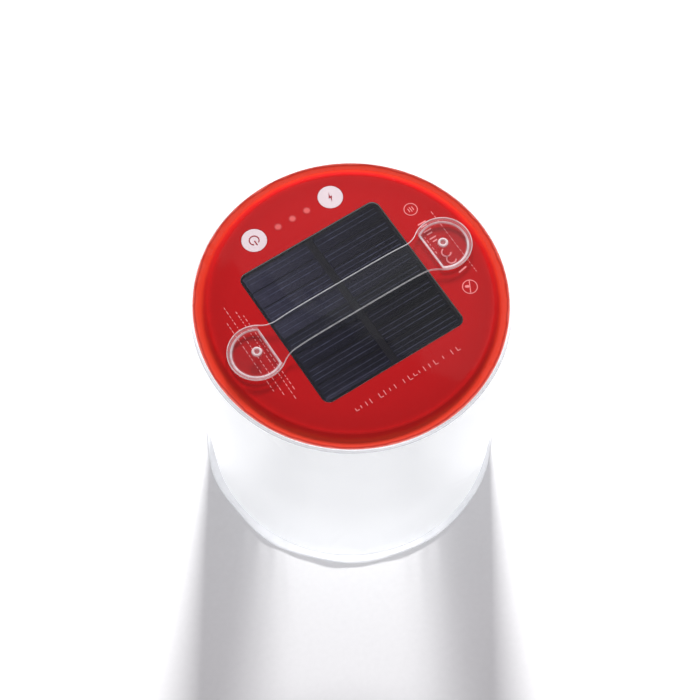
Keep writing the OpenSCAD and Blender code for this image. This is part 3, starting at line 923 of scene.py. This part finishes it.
def print_rings(plates):
    """Two rings, one round three short lines and one round a crossing line."""
    for x, y, r in RINGS:
        plates.arc_band(
            x * MM, y * MM, (r - 0.28) * MM, r * MM, 0, FULL_TURN, PRINT_Z, PRINT_TOP, 72)
    for k, length in enumerate((1.6, 2.1, 1.6)):
        plates.bar((34.6 + 0.8 * k) * MM, 17.4 * MM, length * MM, 0.3 * MM, 90, PRINT_Z, PRINT_TOP)
    plates.bar(35.6 * MM, -17.5 * MM, 4.6 * MM, 0.28 * MM, 62, PRINT_Z, PRINT_TOP)
    plates.bar(34.9 * MM, -16.9 * MM, 1.5 * MM, 0.9 * MM, 152, PRINT_Z, PRINT_TOP)


def make_print(materials):
    """The plain marks printed on the red film: rings, dashes and bars with no lettering."""
    plates = Plates()
    print_strokes(plates)
    print_dashes(plates)
    print_bars(plates)
    print_rings(plates)
    marks = plates.piece("printed_marks", materials["print"])
    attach(marks, "top_unit")


def make_icons(materials):
    """The power sign and the charge bolt printed on the two buttons."""
    low = top_of("power_button") + PRINT_GAP
    high = low + PRINT_T
    middle = centre_of("power_button")
    plates = Plates()
    plates.arc_band(middle.x, middle.y, 1.45 * MM, 1.85 * MM, -58, 238, low, high)
    plates.bar(middle.x, middle.y - 1.15 * MM, 2.0 * MM, 0.42 * MM, 90, low, high)
    power = plates.piece("power_sign", materials["icon"])
    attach(power, "power_button")
    middle = centre_of("level_button")
    plates = Plates()
    bolt = [(0.5, 1.9), (-0.8, -0.25), (-0.08, -0.25), (-0.5, -1.9), (0.8, 0.25), (0.08, 0.25)]
    plates.prism([(middle.x + x * MM, middle.y + y * MM) for x, y in bolt], low, high)
    charge = plates.piece("charge_sign", materials["icon"])
    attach(charge, "level_button")


def make_halos(materials):
    """A soft ring of tinted print round each charge light, thinner than the other marks."""
    lo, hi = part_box("charge_light_pipes")
    y = (lo.y + hi.y) / 2
    r = (hi.y - lo.y) / 2
    high = PRINT_Z + 0.02 * MM
    plates = Plates()
    for x in (lo.x + r, 0, hi.x - r):
        plates.arc_band(x, y, 1.02 * r, 1.4 * r, 0, FULL_TURN, PRINT_Z, high)
    halos = plates.piece("light_halos", materials["halo"])
    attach(halos, "top_unit")


# ---------------------------------------------------------------- carried-over CAD nodes

NODE_LOOKS = {
    "red": ["red_sheet"],
    "cells": ["solar_cells"],
    "resin": ["panel_resin"],
    "panel_black": ["panel_board", "panel_tape"],
    "button": ["power_button", "level_button"],
    "light_pipe": ["charge_light_pipes"],
    "white": ["capsule_top", "reflector", "battery_tape", "battery_socket", "valve_collar"],
    "lens": ["capsule_lens"],
    "rubber": ["capsule_gasket"],
    "board": ["main_board"],
    "part": ["board_parts", "controller_chip", "power_switch", "level_switch", "power_plunger",
             "level_plunger"],
    "steel": ["board_screws"],
    "foil": ["battery_pouch"],
    "diode": ["lamp_diodes", "charge_diodes"],
    "lead_red": ["battery_lead_red", "panel_leads"],
    "lead_black": ["battery_lead_black"],
    "patch": ["snap_stud_left", "snap_stud_right"],
    "valve": ["valve_body", "valve_flap", "valve_plug"],
}
# How far each edge in sight is rounded, in millimetres.
SOFTENED = {
    "valve_body": 0.25, "valve_plug": 0.15, "valve_collar": 0.2, "power_button": 0.15,
    "level_button": 0.15,
}


def dress_nodes(materials):
    """Gives each CAD node that still shows its material, and rounds the edges of those in sight."""
    for look, nodes in NODE_LOOKS.items():
        for name in nodes:
            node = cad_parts[name]
            node.data.materials.clear()
            node.data.materials.append(materials[look])
            for polygon in node.data.polygons:
                polygon.material_index = 0
    for name, width in SOFTENED.items():
        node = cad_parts[name]
        weld = node.modifiers.new("weld", "WELD")
        weld.merge_threshold = 1e-6
        bevel = node.modifiers.new("round_edges", "BEVEL")
        bevel.width = width * MM
        bevel.segments = 3
        bevel.limit_method = "ANGLE"
        bevel.angle_limit = math.radians(40)


# ---------------------------------------------------------------- stage, lights and camera

# Angles are in degrees, the lens in millimetres and the rest in metres.
CAMERA_AZIMUTH = -33.63
CAMERA_ELEVATION = 65.8
CAMERA_ROLL = 0.515
CAMERA_DISTANCE = 0.5884
CAMERA_LENS = 92.57
AIM = Vector((-0.0100, -0.0146, FILM_TOP - 1.6 * MM))


def away(azimuth, elevation):
    """The direction from the object to a place at that azimuth and height above the horizon."""
    a, e = math.radians(azimuth), math.radians(elevation)
    return Vector((math.sin(a) * math.cos(e), -math.cos(a) * math.cos(e), math.sin(e)))


def make_camera():
    """The scene's camera. Gives its place, which the sheen lamp needs."""
    back = away(CAMERA_AZIMUTH, CAMERA_ELEVATION)
    a = math.radians(CAMERA_AZIMUTH)
    right = Vector((math.cos(a), math.sin(a), 0))
    up = back.cross(right)
    roll = math.radians(CAMERA_ROLL)
    right, up = right * math.cos(roll) + up * math.sin(roll), up * math.cos(roll) - right * math.sin(roll)
    data = bpy.data.cameras.new("camera")
    data.lens = CAMERA_LENS
    data.sensor_width = 36
    data.clip_start = 0.01
    camera = bpy.data.objects.new("camera", data)
    turn = Matrix((right, up, back)).transposed().to_4x4()
    place = AIM + back * CAMERA_DISTANCE
    camera.matrix_world = Matrix.Translation(place) @ turn
    bpy.context.scene.collection.objects.link(camera)
    bpy.context.scene.camera = camera
    return place


def make_lamp(name, azimuth, elevation, distance, size, energy, colour=(1, 1, 1)):
    """A soft square lamp that faces the lantern and isn't seen in its gloss."""
    data = bpy.data.lights.new(name, "AREA")
    data.shape = "SQUARE"
    data.size = size
    data.energy = energy
    data.color = colour
    lamp = bpy.data.objects.new(name, data)
    lamp.location = Vector((0, 0, WALL_TOP / 2)) + away(azimuth, elevation) * distance
    lamp.rotation_mode = "QUATERNION"
    lamp.rotation_quaternion = away(azimuth, elevation).to_track_quat("Z", "Y")
    lamp.visible_glossy = False
    bpy.context.scene.collection.objects.link(lamp)


def make_sheen(camera_place):
    """A dim lamp overhead, whose straight edge shows as a faint slanting line in the glossy cover."""
    height, width, length, radiance = 0.9, 0.5, 1.2, 0.28
    far_x, far_y = -31 * MM, 41 * MM  # the line's two ends on the cover
    near_x, near_y = 15 * MM, -48 * MM
    rise = height / (camera_place.z - FILM_TOP)

    def seen_in_cover(x, y):
        return Vector((
            x + (x - camera_place.x) * rise, y + (y - camera_place.y) * rise, FILM_TOP + height))

    far, near = seen_in_cover(far_x, far_y), seen_in_cover(near_x, near_y)
    along = (far - near).normalized()
    data = bpy.data.lights.new("sheen", "AREA")
    data.shape = "RECTANGLE"
    data.size = length
    data.size_y = width
    data.energy = radiance * math.pi * length * width
    lamp = bpy.data.objects.new("sheen", data)
    lamp.location = (far + near) / 2 + Vector((along.y, -along.x, 0)) * width / 2
    lamp.rotation_euler = (0, 0, math.atan2(along.y, along.x))
    bpy.context.scene.collection.objects.link(lamp)


def make_stage():
    """A plain pale floor, a dim even surround and three soft lamps."""
    size = 6.0
    corners = [(-size, -size, 0), (size, -size, 0), (size, size, 0), (-size, size, 0)]
    floor = new_piece("floor", corners, [(0, 1, 2, 3)], floor_paper(), smooth=False)
    world = bpy.data.worlds.new("studio")
    world.use_nodes = True
    background = world.node_tree.nodes["Background"]
    background.inputs["Color"].default_value = (0.98, 0.95, 1, 1)
    background.inputs["Strength"].default_value = 0.14
    bpy.context.scene.world = world
    bpy.context.scene.view_settings.view_transform = "Standard"
    # Light has to cross the strap, the patch, the cover and the resin, twice each.
    bpy.context.scene.cycles.transparent_max_bounces = 32
    make_lamp(
        "key", azimuth=CAMERA_AZIMUTH + 180, elevation=30, distance=0.8, size=0.12, energy=13.5)
    make_lamp(
        "overhead", azimuth=0, elevation=88, distance=1.6, size=1.2, energy=7,
        colour=(1, 0.95, 0.99))
    make_lamp(
        "front_fill", azimuth=CAMERA_AZIMUTH, elevation=20, distance=1.5, size=1.2, energy=6)


# ---------------------------------------------------------------- build

make_sheen(make_camera())
looks = make_materials()
make_wall(looks)
make_base_film(looks)
make_skirt(looks)
make_cover(looks)
make_strap(looks)
make_patches(looks)
make_snaps(looks)
make_cell_lines(looks)
make_print(looks)
make_icons(looks)
make_halos(looks)
dress_nodes(looks)
make_stage()
